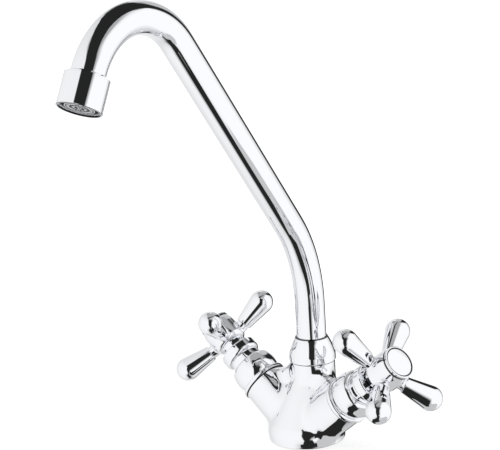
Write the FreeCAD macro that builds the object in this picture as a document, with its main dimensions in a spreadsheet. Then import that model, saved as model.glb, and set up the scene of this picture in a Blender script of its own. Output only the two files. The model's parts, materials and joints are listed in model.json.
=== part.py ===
import FreeCAD, Part
import math
import os
from types import SimpleNamespace

import Sketcher

# Two-handle kitchen mixer tap. Z is up, the deck is the plane Z = 0, the front is -Y and the
# cold side is +X. The origin is the middle of the round base, where the two valve axes cross
# above it; the spout turns about an upright axis behind it. Lengths are millimetres and angles
# are degrees.

V = FreeCAD.Vector
RIGHT_ANGLE = 90
os.makedirs("parts", exist_ok=True)
doc = FreeCAD.newDocument("MixerTap")

# Driving dimensions, each with its cell in the sheet.
DRIVING = (
    # Body casting
    ("base_radius", 23.0),
    ("base_round", 1.5),
    ("base_flare", 0.8),
    ("base_wall_height", 8.0),
    ("shoulder_fillet", 12.0),
    ("spout_back", 8.5),
    ("neck_foot", 36.0),
    ("neck_fillet", 8.0),
    ("neck_radius", 13.4),
    ("neck_height", 46.4),
    ("spigot_radius", 11.0),
    ("spigot_height", 5.5),
    ("arm_root_radius", 14.6),
    ("arm_radius", 14.0),
    ("arm_start", 12.0),
    ("arm_length", 39.6),
    ("arm_foot_fillet", 11.0),
    ("arm_nape_fillet", 5.0),
    # Valve axes: tilt above the deck and the height where they cross
    ("valve_tilt", 37.1),
    ("valve_rise", 4.7),
    # Machined holes of the body
    ("valve_thread_radius", 10.5),
    ("valve_thread_depth", 11.5),
    ("thread_runout", 0.3),
    ("valve_chamber_radius", 9.5),
    ("valve_seat_depth", 22.5),
    ("seat_port_radius", 4.0),
    ("inlet_radius", 4.5),
    ("inlet_spacing", 21.0),
    ("inlet_depth", 15.0),
    ("stud_hole_radius", 3.4),
    ("stud_hole_depth", 16.0),
    ("stud_offset", 12.0),
    ("tail_foot_gap", 2.9),
    ("mixing_port_radius", 2.6),
    ("mixing_port_rise", 2.9),
    ("gasket_outer_radius", 19.4),
    ("gasket_width", 2.0),
    ("gasket_thickness", 1.8),
    # Spout nut
    ("nut_radius", 14.0),
    ("nut_top_radius", 9.7),
    ("nut_height", 15.1),
    ("nut_band_height", 4.6),
    ("nut_dome_radius", 40.0),
    ("nut_foot_round", 1.2),
    ("nut_band_blend", 3.0),
    # Spout
    ("tube_radius", 9.0),
    ("tube_wall", 1.0),
    ("tube_foot_cover", 5.6),
    ("riser_height", 26.3),
    ("lower_bend_radius", 83.5),
    ("spout_slope", 38.5),
    ("slope_length", 150.7),
    ("arch_radius", 43.0),
    ("arch_turn", 112.9),
    ("tip_length", 1.0),
    ("spout_swing", 8.0),
    ("tail_radius", 8.5),
    ("tail_bore_radius", 5.5),
    ("tail_plug_length", 10.0),
    ("tail_reach", 19.0),
    ("tail_groove_depth", 1.3),
    ("tail_groove_width", 1.9),
    ("tail_groove_pitch", 4.6),
    ("slip_groove_depth", 0.9),
    ("slip_ring_radius", 10.6),
    ("slip_ring_height", 2.6),
    ("slip_ring_split_angle", 20.0),
    # Outlet
    ("shell_radius", 11.7),
    ("shell_length", 18.1),
    ("shell_mouth_radius", 10.7),
    ("shell_lip", 1.0),
    ("shell_edge_round", 0.4),
    ("bush_shoulder", 1.6),
    ("bush_chamfer_height", 1.0),
    ("bush_face_radius", 10.3),
    ("bush_thread_radius", 11.0),
    ("bush_length", 9.4),
    ("tube_insert", 7.4),
    ("washer_thickness", 1.6),
    ("washer_width", 2.5),
    ("insert_web", 1.2),
    ("insert_ring_width", 0.9),
    ("insert_ring_pitch", 3.2),
    ("insert_hole_radius", 0.8),
    ("outer_jet_count", 14.0),
    ("inner_jet_count", 8.0),
    ("mesh_thickness", 0.4),
    ("mesh_pitch", 1.6),
    ("mesh_hole", 1.1),
    # Cartridge
    ("nose_gap", 1.5),
    ("nose_radius", 9.2),
    ("cartridge_wall", 1.4),
    ("disc_thickness", 3.0),
    ("disc_port_radius", 2.2),
    ("disc_port_offset", 4.6),
    ("disc_slot_length", 12.0),
    ("tang_length", 11.4),
    ("tang_width", 2.9),
    ("tang_depth", 0.9),
    ("window_width", 7.0),
    ("seal_inner_radius", 5.0),
    ("seal_outer_radius", 8.6),
    ("cartridge_flange_radius", 11.1),
    ("cartridge_flange_height", 1.6),
    ("hex_radius", 9.8),
    ("hex_height", 4.0),
    ("face_groove_radius", 9.0),
    ("face_groove_width", 1.8),
    ("face_groove_top", 0.6),
    ("barrel_radius", 7.5),
    ("barrel_top", 18.5),
    ("spindle_radius", 4.0),
    ("spindle_foot_radius", 7.0),
    ("spindle_foot_height", 1.6),
    ("spindle_groove", 0.9),
    ("spindle_groove_width", 1.5),
    ("spindle_groove_height", 9.0),
    ("clip_thickness", 0.8),
    ("clip_radius", 5.6),
    ("clip_mouth_angle", 60.0),
    ("spline_depth", 0.35),
    ("spline_length", 11.0),
    ("spline_count", 20.0),
    ("spindle_end_gap", 0.2),
    # Bonnet, with heights above the arm's end face
    ("lower_flange_radius", 14.7),
    ("lower_flange_height", 3.4),
    ("lower_flange_round", 1.4),
    ("bulb_foot_radius", 12.8),
    ("bulb_curve", 15.9),
    ("bulb_shoulder_radius", 13.3),
    ("bulb_shoulder", 14.2),
    ("bulb_shoulder_curve", 3.4),
    ("bulb_top_radius", 10.4),
    ("bulb_top", 17.0),
    ("bulb_band_height", 1.2),
    ("bonnet_neck_radius", 9.4),
    ("bonnet_neck_top", 21.4),
    ("upper_flange_radius", 11.8),
    ("upper_flange_height", 7.2),
    ("upper_flange_top_round", 1.2),
    ("upper_flange_foot_round", 2.1),
    ("bonnet_cavity_radius", 11.3),
    ("bonnet_cavity_depth", 12.0),
    ("bonnet_recess_radius", 7.2),
    ("bonnet_recess_depth", 9.6),
    # Cross handle, with heights above the arm's end face
    ("handle_gap", 1.0),
    ("skirt_radius", 6.6),
    ("skirt_wall", 1.6),
    ("skirt_height", 3.0),
    ("facet_ring_radius", 7.4),
    ("facet_ring_height", 3.5),
    ("facet_count", 16.0),
    ("hub_foot_radius", 8.2),
    ("hub_radius", 11.0),
    ("hub_foot_height", 3.2),
    ("hub_foot_curve", 3.4),
    ("hub_barrel_height", 9.0),
    ("hub_top_curve", 12.0),
    ("hub_top_radius", 10.1),
    ("hub_height", 16.6),
    ("handle_arm_height", 7.0),
    ("handle_arm_rise", 8.5),
    ("arm_count", 4.0),
    ("handle_arm_length", 31.3),
    ("arm_ball_radius", 7.4),
    ("arm_neck_radius", 3.9),
    ("arm_neck_length", 13.2),
    ("arm_collar_step", 0.7),
    ("arm_taper", 8.4),
    ("arm_root_fillet", 1.2),
    ("cold_handle_angle", 37.8),
    ("hot_handle_angle", 39.5),
    ("cap_well_radius", 8.6),
    ("cap_well_depth", 3.2),
    ("screw_well_radius", 4.0),
    ("screw_well_depth", 3.4),
    ("screw_radius", 2.0),
    ("screw_head_radius", 3.6),
    ("screw_head_height", 2.4),
    ("screw_length", 9.0),
    ("screw_hole_depth", 8.0),
    ("hub_web", 2.0),
    ("screw_socket_radius", 1.5),
    # Index cap
    ("cap_radius", 10.0),
    ("cap_rim_height", 2.4),
    ("cap_rim_width", 1.1),
    ("cap_dish_depth", 0.5),
    ("cap_dome_height", 0.9),
    ("cap_web_height", 0.9),
    ("cap_rim_round", 0.4),
    ("cap_plug_length", 2.6),
    ("cap_plug_wall", 1.2),
    # Clearances
    ("thread_clearance", 0.05),
    ("running_clearance", 0.05),
    ("seat_clearance", 0.02),
    ("swivel_clearance", 0.1),
)

sheet = doc.addObject("Spreadsheet::Sheet", "Sizes")
for row, (alias, value) in enumerate(DRIVING, start=1):
    sheet.set(f"A{row}", alias)
    sheet.set(f"B{row}", str(value))
    sheet.setAlias(f"B{row}", alias)
doc.recompute()


class Size:
    """A length or angle that keeps its value and the sheet expression it comes from."""

    def __init__(self, value, text):
        self.value = float(value)
        self.text = text

    def __add__(self, other):
        other = as_size(other)
        return Size(self.value + other.value, f"({self.text} + {other.text})")

    def __sub__(self, other):
        other = as_size(other)
        return Size(self.value - other.value, f"({self.text} - {other.text})")

    def __mul__(self, other):
        other = as_size(other)
        return Size(self.value * other.value, f"({self.text} * {other.text})")

    def __truediv__(self, other):
        other = as_size(other)
        return Size(self.value / other.value, f"({self.text} / {other.text})")


def as_size(value):
    return value if isinstance(value, Size) else Size(value, str(float(value)))


def capped(size, wall):
    """A round that stays inside the wall it is cut on."""
    limit = wall * 0.9
    return Size(min(size.value, limit.value), f"min({size.text}; {limit.text})")


def sine(angle):
    return Size(math.sin(math.radians(angle.value)), f"sin({angle.text})")


def cosine(angle):
    return Size(math.cos(math.radians(angle.value)), f"cos({angle.text})")


D = SimpleNamespace(**{alias: Size(sheet.get(alias), f"Sizes.{alias}") for alias, _ in DRIVING})


def bind(thing, target, size):
    """Set a property from a size and keep it bound to the sheet."""
    thing.setExpression(target, as_size(size).text)


# Sketch helpers

def on_plane(body, name, role):
    """A sketch attached to one of the body's own origin planes."""
    sketch = body.newObject("Sketcher::SketchObject", name)
    plane = next(item for item in body.Origin.OriginFeatures if item.Role == role)
    sketch.AttachmentSupport = [(plane, "")]
    sketch.MapMode = "FlatFace"
    return sketch


def pin(sketch, geometry, end, x, y):
    """Fix a point of the sketch at (x, y), on an axis where a coordinate is None."""
    if x is None:
        sketch.addConstraint(Sketcher.Constraint("PointOnObject", geometry, end, -2))
    else:
        index = sketch.addConstraint(Sketcher.Constraint("DistanceX", -1, 1, geometry, end, as_size(x).value))
        bind(sketch, f"Constraints[{index}]", x)
    if y is None:
        sketch.addConstraint(Sketcher.Constraint("PointOnObject", geometry, end, -1))
    else:
        index = sketch.addConstraint(Sketcher.Constraint("DistanceY", -1, 1, geometry, end, as_size(y).value))
        bind(sketch, f"Constraints[{index}]", y)


def point_of(corner):
    x, y = corner[:2]
    return V(0 if x is None else as_size(x).value, 0 if y is None else as_size(y).value, 0)


def arc_between(start, stop, radius):
    """The short arc from start to stop; a positive radius bulges to the right of the way there."""
    chord = stop - start
    half = chord.Length / 2
    side = V(chord.y, -chord.x, 0).normalize()
    sagitta = abs(radius) - math.sqrt(radius * radius - half * half)
    middle = (start + stop) / 2 + side * math.copysign(sagitta, radius)
    return Part.Arc(start, middle, stop)


def draw(sketch, corners):
    """Draw a closed outline. A corner is (x, y), or (x, y, radius, side) where an arc leads on
    from it, bulging right of the way there for side 1 and left for side -1."""
    for index, corner in enumerate(corners):
        start = point_of(corner)
        stop = point_of(corners[(index + 1) % len(corners)])
        if len(corner) == 4:
            sketch.addGeometry(arc_between(start, stop, as_size(corner[2]).value * corner[3]), False)
        else:
            sketch.addGeometry(Part.LineSegment(start, stop), False)
    ends = []
    for index, corner in enumerate(corners):
        start = point_of(corner)
        first = sketch.getPoint(index, 1)
        ends.append((1, 2) if first.distanceToPoint(start) < 1e-6 else (2, 1))
    for index, corner in enumerate(corners):
        following = (index + 1) % len(corners)
        sketch.addConstraint(
            Sketcher.Constraint("Coincident", index, ends[index][1], following, ends[following][0]))
        pin(sketch, index, ends[index][0], corner[0], corner[1])
        if len(corner) == 4:
            number = sketch.addConstraint(Sketcher.Constraint("Radius", index, as_size(corner[2]).value))
            bind(sketch, f"Constraints[{number}]", corner[2])


def circle(sketch, radius, x=None, y=None):
    """Add a circle to the sketch, on the axes where a coordinate is None."""
    centre = point_of((x, y))
    index = sketch.addGeometry(Part.Circle(centre, V(0, 0, 1), as_size(radius).value), False)
    pin(sketch, index, 3, x, y)
    number = sketch.addConstraint(Sketcher.Constraint("Radius", index, as_size(radius).value))
    bind(sketch, f"Constraints[{number}]", radius)


def centred_rectangle(sketch, length, width):
    """A rectangle round the sketch's origin, length along X and width along Y."""
    half = V(length.value / 2, width.value / 2, 0)
    corners = [V(x * half.x, y * half.y, 0) for x, y in ((-1, -1), (1, -1), (1, 1), (-1, 1))]
    sketch.addGeometry([Part.LineSegment(corners[i], corners[(i + 1) % 4]) for i in range(4)], False)
    sketch.addConstraint(
        [Sketcher.Constraint("Coincident", i, 2, (i + 1) % 4, 1) for i in range(4)]
        + [Sketcher.Constraint("Horizontal", i) for i in (0, 2)]
        + [Sketcher.Constraint("Vertical", i) for i in (1, 3)]
        + [Sketcher.Constraint("Symmetric", 0, 1, 1, 2, -1, 1)])
    for line, size in ((0, length), (1, width)):
        number = sketch.addConstraint(Sketcher.Constraint("Distance", line, size.value))
        bind(sketch, f"Constraints[{number}]", size)


# Feature helpers

def new_body(label, frame):
    body = doc.addObject("PartDesign::Body", label)
    body.Label = label
    body.Placement = frame
    return body


def turn(body, name, corners, kind="PartDesign::Revolution"):
    """Turn an outline of (radius, height) corners about the body's Z axis."""
    sketch = on_plane(body, f"{name}_outline", "XZ_Plane")
    draw(sketch, corners)
    feature = body.newObject(kind, name)
    feature.Profile = sketch
    feature.ReferenceAxis = (sketch, ["V_Axis"])
    feature.Angle = 360
    doc.recompute()
    return feature


def turned(label, corners, frame):
    """A body of one turning."""
    body = new_body(label, frame)
    turn(body, f"{label}_turning", corners)
    return body


def lift(sketch, height):
    bind(sketch, "AttachmentOffset.Base.z", height)


def attach_solid(solid, body, height):
    """Stand a primitive feature on the body's XY plane at this height."""
    plane = next(item for item in body.Origin.OriginFeatures if item.Role == "XY_Plane")
    solid.AttachmentSupport = [(plane, "")]
    solid.MapMode = "FlatFace"
    bind(solid, "AttachmentOffset.Base.z", height)


def pocket_down(body, name, sketch, depth):
    """Cut from the sketch towards -Z."""
    feature = body.newObject("PartDesign::Pocket", name)
    feature.Profile = sketch
    bind(feature, "Length", depth)
    doc.recompute()
    return feature


def repeat_round(body, name, feature, sketch, count, axis="N_Axis"):
    """Repeat the body's last feature evenly round an axis of the sketch."""
    pattern = body.newObject("PartDesign::PolarPattern", name)
    pattern.Originals = [feature]
    pattern.Axis = (sketch, [axis])
    pattern.Angle = 360
    bind(pattern, "Occurrences", count)
    body.Tip = pattern
    doc.recompute()
    return pattern


def rings(shape, radius, height):
    """Names of the circular edges round Z with this radius and height."""
    names = []
    for index, edge in enumerate(shape.Edges, start=1):
        if edge.Degenerated or not isinstance(edge.Curve, Part.Circle):
            continue
        curve = edge.Curve
        centred = math.hypot(curve.Center.x, curve.Center.y) < 1e-4
        if centred and abs(curve.Center.z - height) < 1e-3 and abs(curve.Radius - radius) < 1e-3:
            names.append(f"Edge{index}")
    return names


def soften(body, name, radius, places, kind="PartDesign::Fillet", extra=()):
    """Fillet or chamfer the ring edges at the (radius, height) places, and any extra edges."""
    base = body.Tip
    edges = list(extra)
    for place in places:
        edges += rings(base.Shape, as_size(place[0]).value, as_size(place[1]).value)
    feature = body.newObject(kind, name)
    feature.Base = (base, edges)
    bind(feature, "Radius" if kind == "PartDesign::Fillet" else "Size", radius)
    doc.recompute()
    return feature


def step_file(thing):
    return f"parts/{thing.Label}.step"


# Frames: each valve's Z axis runs outwards along the valve, from where the two axes cross

def valve_frame(side, height=0.0, angle=0.0):
    """Side 1 is cold and -1 is hot."""
    turn_to_axis = (FreeCAD.Rotation(V(0, 0, 1), 0 if side > 0 else 180)
                    * FreeCAD.Rotation(V(0, 1, 0), 90 - D.valve_tilt.value)
                    * FreeCAD.Rotation(V(0, 0, 1), 90 + angle))
    origin = V(0, 0, D.valve_rise.value)
    return FreeCAD.Placement(origin + turn_to_axis.multVec(V(0, 0, height)), turn_to_axis)


SIDES = (("cold", 1, D.cold_handle_angle), ("hot", -1, D.hot_handle_angle))
ORIGIN = FreeCAD.Placement()

# The spout's own upright axis, and its turned frame with +X forwards along the spout
spout_axis = FreeCAD.Placement(V(0, D.spout_back.value, 0), FreeCAD.Rotation())
spout_frame = FreeCAD.Placement(spout_axis.Base, FreeCAD.Rotation(V(0, 0, 1), -90 + D.spout_swing.value))

nut_top = D.neck_height + D.nut_height
tube_foot = nut_top - D.tube_foot_cover
tail_foot = tube_foot - D.tail_reach
neck_bore_floor = tail_foot - D.tail_foot_gap


def spout_tip():
    """The end of the bare tube in the spout's frame, with +Z out of the outlet."""
    slope = math.radians(D.spout_slope.value)
    ending = slope + math.radians(D.arch_turn.value)
    low = D.lower_bend_radius.value
    high = D.arch_radius.value
    forward = low * (1 - math.cos(slope)) + D.slope_length.value * math.sin(slope)
    height = tube_foot.value + D.riser_height.value + low * math.sin(slope)
    height += D.slope_length.value * math.cos(slope)
    forward += high * (math.cos(slope) - math.cos(ending))
    height += high * (math.sin(ending) - math.sin(slope))
    forward += D.tip_length.value * math.sin(ending)
    height += D.tip_length.value * math.cos(ending)
    return FreeCAD.Placement(V(forward, 0, height), FreeCAD.Rotation(V(0, 1, 0), math.degrees(ending)))


outlet_frame = spout_frame.multiply(spout_tip())
parts = []


# Mixer body: round base, leaning middle and upright neck blended into two valve arms, then drilled

base_top_radius = D.base_radius + D.base_flare
arm_face = D.arm_length
valve_seat = arm_face - D.valve_seat_depth
neck_top = D.neck_height + D.spigot_height
swivel_bore = D.tail_radius + D.swivel_clearance
# The turnings' seams face forwards, clear of the arms
forwards = FreeCAD.Rotation(V(0, 0, 1), -90)


def base_outline():
    """Drafted wall with a rounded foot."""
    return [
        (None, None),
        (D.base_radius - D.base_round, None, D.base_round, 1),
        (D.base_radius, D.base_round),
        (base_top_radius, D.base_wall_height),
        (None, D.base_wall_height),
    ]


def neck_outline():
    """Neck below the spout nut, and the threaded spigot that the nut screws onto."""
    return [
        (None, D.neck_foot),
        (D.neck_radius, D.neck_foot),
        (D.neck_radius, D.neck_height),
        (D.spigot_radius, D.neck_height),
        (D.spigot_radius, neck_top),
        (None, neck_top),
    ]


def loft_circle(name, radius, centre):
    ring = doc.addObject("Part::Circle", name)
    bind(ring, "Radius", radius)
    ring.Placement = FreeCAD.Placement(centre, forwards)
    return ring


def cylinder(name, radius, length, frame):
    """A machining tool: a cylinder from the frame's origin along its Z axis."""
    tool = doc.addObject("Part::Cylinder", name)
    bind(tool, "Radius", radius)
    bind(tool, "Height", length)
    tool.Placement = frame
    return tool


def pointing(start, stop):
    """A frame at start with +Z towards stop."""
    return FreeCAD.Placement(start, FreeCAD.Rotation(V(0, 0, 1), stop - start))


def valve_arm(side_name, side):
    arm = doc.addObject("Part::Cone", f"{side_name}_arm")
    bind(arm, "Radius1", D.arm_root_radius)
    bind(arm, "Radius2", D.arm_radius)
    bind(arm, "Height", D.arm_length - D.arm_start)
    arm.Placement = valve_frame(side, D.arm_start.value)
    return arm


def valve_tools(side_name, side):
    """Thread bore, disc chamber and port along the valve axis, the inlet and the way to the spout."""
    seat = valve_seat.value
    inlet = V(side * D.inlet_spacing.value / 2, 0, 0)
    port_foot = (D.inlet_spacing / 2 / cosine(D.valve_tilt)).value
    chamber_side = valve_frame(side, seat + D.mixing_port_rise.value).Base
    port_start = spout_axis.Base + V(side * D.tail_radius.value / 2, 0,
                                     (neck_bore_floor + D.mixing_port_radius).value)
    return [
        cylinder(f"{side_name}_thread_bore", D.valve_thread_radius, D.valve_thread_depth + 1,
                 valve_frame(side, (arm_face - D.valve_thread_depth).value)),
        cylinder(f"{side_name}_chamber", D.valve_chamber_radius, D.valve_seat_depth - 1,
                 valve_frame(side, seat)),
        cylinder(f"{side_name}_seat_port", D.seat_port_radius, seat - port_foot + 1,
                 valve_frame(side, port_foot)),
        cylinder(f"{side_name}_inlet", D.inlet_radius, D.inlet_depth,
                 FreeCAD.Placement(inlet, FreeCAD.Rotation())),
        cylinder(f"{side_name}_mixing_port", D.mixing_port_radius, (chamber_side - port_start).Length,
                 pointing(port_start, chamber_side)),
    ]


def gasket_ring(label, side_gap, height):
    """A ring in the gasket's groove, this much short of the groove's walls."""
    return turned(label, [
        (D.gasket_outer_radius - D.gasket_width + side_gap, None),
        (D.gasket_outer_radius - side_gap, None),
        (D.gasket_outer_radius - side_gap, height),
        (D.gasket_outer_radius - D.gasket_width + side_gap, height),
    ], ORIGIN)


def rounded(name, base, radius_at, numbers):
    """A fillet on these edges of the base, its radius set by the height of each edge's two ends."""
    fillet = doc.addObject("Part::Fillet", name)
    fillet.Base = base
    rows = []
    for number in numbers:
        edge = base.Shape.Edges[number - 1]
        ends = [edge.valueAt(place).z for place in (edge.FirstParameter, edge.LastParameter)]
        rows.append((number, radius_at(ends[0]), radius_at(ends[1])))
    fillet.Edges = rows
    doc.recompute()
    return fillet


def arm_blend(height):
    """Radius of the blend round an arm: it tightens from the base wall's top up to the neck."""
    way = (height - D.base_wall_height.value) / (D.neck_foot - D.base_wall_height).value
    way = min(1, max(0, way))
    return D.arm_foot_fillet.value * (1 - way) + D.arm_nape_fillet.value * way


def joined(name, shapes, refine=True):
    fuse = doc.addObject("Part::MultiFuse", name)
    fuse.Shapes = shapes
    fuse.Refine = refine
    doc.recompute()
    return fuse


def level_rings(shape, radius, height):
    """Numbers of the level circles with this radius and height, wherever their centre is."""
    circles = [(number, edge.Curve) for number, edge in enumerate(shape.Edges, start=1)
               if not edge.Degenerated and isinstance(edge.Curve, Part.Circle)]
    return [number for number, curve in circles
            if abs(curve.Center.z - height.value) < 1e-4 and abs(curve.Radius - radius.value) < 1e-4]


def face_is_arm(face):
    """An arm is a cone on a tilted axis; the base wall's lies along Z."""
    return isinstance(face.Surface, Part.Cone) and abs(face.Surface.Axis.z) < 0.99


def arm_edges(shape):
    """Numbers of the edges where the conical arms run into the core."""
    found = []
    for number, edge in enumerate(shape.Edges, start=1):
        if edge.Degenerated or not isinstance(edge.Curve, Part.BSplineCurve):
            continue
        sides = shape.ancestorsOfType(edge, Part.Face)
        if len(sides) == 2 and any(face_is_arm(face) for face in sides):
            found.append(number)
    return found


base_turning = new_body("casting_base", FreeCAD.Placement(V(0, 0, 0), forwards))
turn(base_turning, "base_turning", base_outline())
neck_turning = new_body("casting_neck", FreeCAD.Placement(spout_axis.Base, forwards))
turn(neck_turning, "neck_turning", neck_outline())
middle = doc.addObject("Part::Loft", "casting_middle")
middle.Sections = [
    loft_circle("middle_foot", base_top_radius, V(0, 0, D.base_wall_height.value)),
    loft_circle("middle_top", D.neck_radius, V(0, D.spout_back.value, D.neck_foot.value)),
]
middle.Solid = True
middle.Ruled = True
core = joined("casting_core", [base_turning, neck_turning, middle])
core = rounded("casting_shoulder", core, lambda height: D.shoulder_fillet.value,
               level_rings(core.Shape, base_top_radius, D.base_wall_height))
core = rounded("casting_nape", core, lambda height: D.neck_fillet.value,
               level_rings(core.Shape, D.neck_radius, D.neck_foot))
rough = joined("casting_rough", [core] + [valve_arm(name, side) for name, side, _ in SIDES], refine=False)
casting = rounded("casting", rough, arm_blend, arm_edges(rough.Shape))

drilling = doc.addObject("Part::MultiFuse", "drilling")
drilling.Shapes = [
    cylinder("neck_bore", swivel_bore, neck_top - neck_bore_floor + 1,
             FreeCAD.Placement(spout_axis.Base + V(0, 0, neck_bore_floor.value), FreeCAD.Rotation())),
    cylinder("stud_hole", D.stud_hole_radius, D.stud_hole_depth,
             FreeCAD.Placement(V(0, D.stud_offset.value, 0), FreeCAD.Rotation())),
    gasket_ring("gasket_groove", as_size(0), D.gasket_thickness),
] + [tool for name, side, _ in SIDES for tool in valve_tools(name, side)]

mixer_body = doc.addObject("Part::Cut", "mixer_body")
mixer_body.Base = casting
mixer_body.Tool = drilling
parts.append(mixer_body)
doc.recompute()

# Base gasket: fills the groove of the deck face
parts.append(gasket_ring("base_gasket", D.seat_clearance, D.gasket_thickness - D.seat_clearance))

# Spout nut: domed collar, threaded on the spigot, its ceiling over the slip ring
nut_bore = D.spigot_radius + D.thread_clearance
nut_ceiling = neck_top + D.slip_ring_height + D.swivel_clearance * 3
nut_band_top = D.neck_height + D.nut_band_height
tube_way = D.tube_radius + D.swivel_clearance
spout_nut = turned("spout_nut", [
    (nut_bore, D.neck_height),
    (D.nut_radius, D.neck_height),
    (D.nut_radius, nut_band_top, D.nut_dome_radius, 1),
    (D.nut_top_radius, nut_top),
    (tube_way, nut_top),
    (tube_way, nut_ceiling),
    (nut_bore, nut_ceiling),
], spout_axis)
soften(spout_nut, "nut_foot_round", D.nut_foot_round, [(D.nut_radius, D.neck_height)])
soften(spout_nut, "nut_band_blend", D.nut_band_blend, [(D.nut_radius, nut_band_top)])
parts.append(spout_nut)

# Spout tail: brazed in the tube's foot, turning in the neck on two O-rings
slip_low = neck_top + D.swivel_clearance
slip_high = slip_low + D.slip_ring_height
tail_root = D.tail_radius - D.tail_groove_depth
slip_root = D.tail_radius - D.slip_groove_depth
plug_radius = D.tube_radius - D.tube_wall - D.seat_clearance
groove_floors = [tail_foot + D.tail_groove_pitch * count for count in (1, 2)]


def tail_outline():
    corners = [(D.tail_bore_radius, tail_foot), (D.tail_radius, tail_foot)]
    for floor in groove_floors:
        corners += [
            (D.tail_radius, floor - D.tail_groove_width),
            (tail_root, floor - D.tail_groove_width),
            (tail_root, floor),
            (D.tail_radius, floor),
        ]
    plug_top = tube_foot + D.tail_plug_length
    return corners + [
        (D.tail_radius, slip_low),
        (slip_root, slip_low),
        (slip_root, slip_high + D.seat_clearance),
        (D.tube_radius, slip_high + D.seat_clearance),
        (D.tube_radius, tube_foot - D.seat_clearance),
        (plug_radius, tube_foot - D.seat_clearance),
        (plug_radius, plug_top),
        (D.tail_bore_radius, plug_top),
    ]


parts.append(turned("spout_tail", tail_outline(), spout_frame))

# O-rings squeezed between the tail's grooves and the neck's bore

def oring(name, groove_radius, bore_radius, height, frame):
    """A ring that fills the way from the groove's root to the bore, at a height in the frame."""
    section = (bore_radius - groove_radius) / 2 - D.seat_clearance
    ring = doc.addObject("Part::Torus", name)
    bind(ring, "Radius1", (bore_radius + groove_radius) / 2)
    bind(ring, "Radius2", section)
    ring.Placement = frame.multiply(FreeCAD.Placement(V(0, 0, height.value), FreeCAD.Rotation()))
    return ring


spout_orings = doc.addObject("Part::Compound", "spout_orings")
spout_orings.Links = [
    oring(f"tail_oring_{number}", tail_root, swivel_bore, floor - D.tail_groove_width / 2, spout_frame)
    for number, floor in enumerate(groove_floors, start=1)
]
parts.append(spout_orings)

# Slip ring: split plastic ring snapped in the tail's groove, under the nut's ceiling
slip_inner = slip_root + D.seat_clearance
slip_ring = turned("spout_slip_ring", [
    (slip_inner, slip_low),
    (D.slip_ring_radius, slip_low),
    (D.slip_ring_radius, slip_high),
    (slip_inner, slip_high),
], spout_frame)
slip_ring_turning = doc.getObject("spout_slip_ring_turning")
bind(slip_ring_turning, "Angle", as_size(360) - D.slip_ring_split_angle)
parts.append(slip_ring)

# Spout tube: riser, forward bend, straight slope, high arch and the end inside the outlet bush
tube = new_body("spout_tube", spout_frame)
route = on_plane(tube, "tube_route", "XZ_Plane")
tip = spout_tip()
slope_angle = math.radians(D.spout_slope.value)
bend_start = V(0, (tube_foot + D.riser_height).value, 0)
bend_centre = bend_start + V(D.lower_bend_radius.value, 0, 0)
bend_stop = bend_centre + V(-math.cos(slope_angle), math.sin(slope_angle), 0) * D.lower_bend_radius.value
arch_start = bend_stop + V(math.sin(slope_angle), math.cos(slope_angle), 0) * D.slope_length.value
arch_centre = arch_start + V(math.cos(slope_angle), -math.sin(slope_angle), 0) * D.arch_radius.value
tip_axis = tip.Rotation.multVec(V(0, 0, 1))
tip_axis = V(tip_axis.x, tip_axis.z, 0)
arch_stop = V(tip.Base.x, tip.Base.z, 0) - tip_axis * D.tip_length.value
tube_end = arch_stop + tip_axis * (D.tip_length + D.tube_insert).value


def bend(centre, start, stop):
    """An arc of the tube's route; both bends turn clockwise, so the sketch runs them backwards."""
    first = math.atan2(stop.y - centre.y, stop.x - centre.x)
    last = math.atan2(start.y - centre.y, start.x - centre.x)
    return Part.ArcOfCircle(Part.Circle(centre, V(0, 0, 1), (start - centre).Length), first, last)


route.addGeometry([
    Part.LineSegment(V(0, tube_foot.value, 0), bend_start),
    bend(bend_centre, bend_start, bend_stop),
    Part.LineSegment(bend_stop, arch_start),
    bend(arch_centre, arch_start, arch_stop),
    Part.LineSegment(arch_stop, tube_end),
], False)
route.addConstraint([
    Sketcher.Constraint("Vertical", 0),
    Sketcher.Constraint("Tangent", 0, 2, 1, 2),
    Sketcher.Constraint("Tangent", 1, 1, 2, 1),
    Sketcher.Constraint("Tangent", 2, 2, 3, 2),
    Sketcher.Constraint("Tangent", 3, 1, 4, 1),
])
pin(route, 0, 1, None, tube_foot)
route_end = D.tip_length + D.tube_insert
route_sizes = [D.riser_height, D.lower_bend_radius, D.slope_length, D.arch_radius, route_end]
for line, size in enumerate(route_sizes):
    kind = "Radius" if line in (1, 3) else "Distance"
    number = route.addConstraint(Sketcher.Constraint(kind, line, size.value))
    bind(route, f"Constraints[{number}]", size)
level = as_size(RIGHT_ANGLE)
for line, angle in ((2, level - D.spout_slope), (4, level - D.spout_slope - D.arch_turn)):
    number = route.addConstraint(Sketcher.Constraint("Angle", line, math.radians(angle.value)))
    bind(route, f"Constraints[{number}]", angle)
tube_section = on_plane(tube, "tube_section", "XY_Plane")
lift(tube_section, tube_foot)
circle(tube_section, D.tube_radius)
circle(tube_section, D.tube_radius - D.tube_wall)
tube_sweep = tube.newObject("PartDesign::AdditivePipe", "tube_sweep")
tube_sweep.Profile = tube_section
tube_sweep.Spine = route
doc.recompute()
parts.append(tube)

# Outlet, in a frame whose +Z leaves the tube: bush, shell, washer, insert and screen
shell_bore = D.bush_thread_radius + D.thread_clearance
washer_low = D.bush_length + D.seat_clearance
insert_low = washer_low + D.washer_thickness + D.seat_clearance
lip_low = D.shell_length - D.shell_lip
insert_high = lip_low - D.seat_clearance
mesh_low = insert_high - D.mesh_thickness
insert_radius = shell_bore - D.swivel_clearance
wall_radii = [insert_radius - D.insert_ring_pitch * count for count in range(3)]
mesh_radius = wall_radii[1] - D.insert_ring_width / 2

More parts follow.
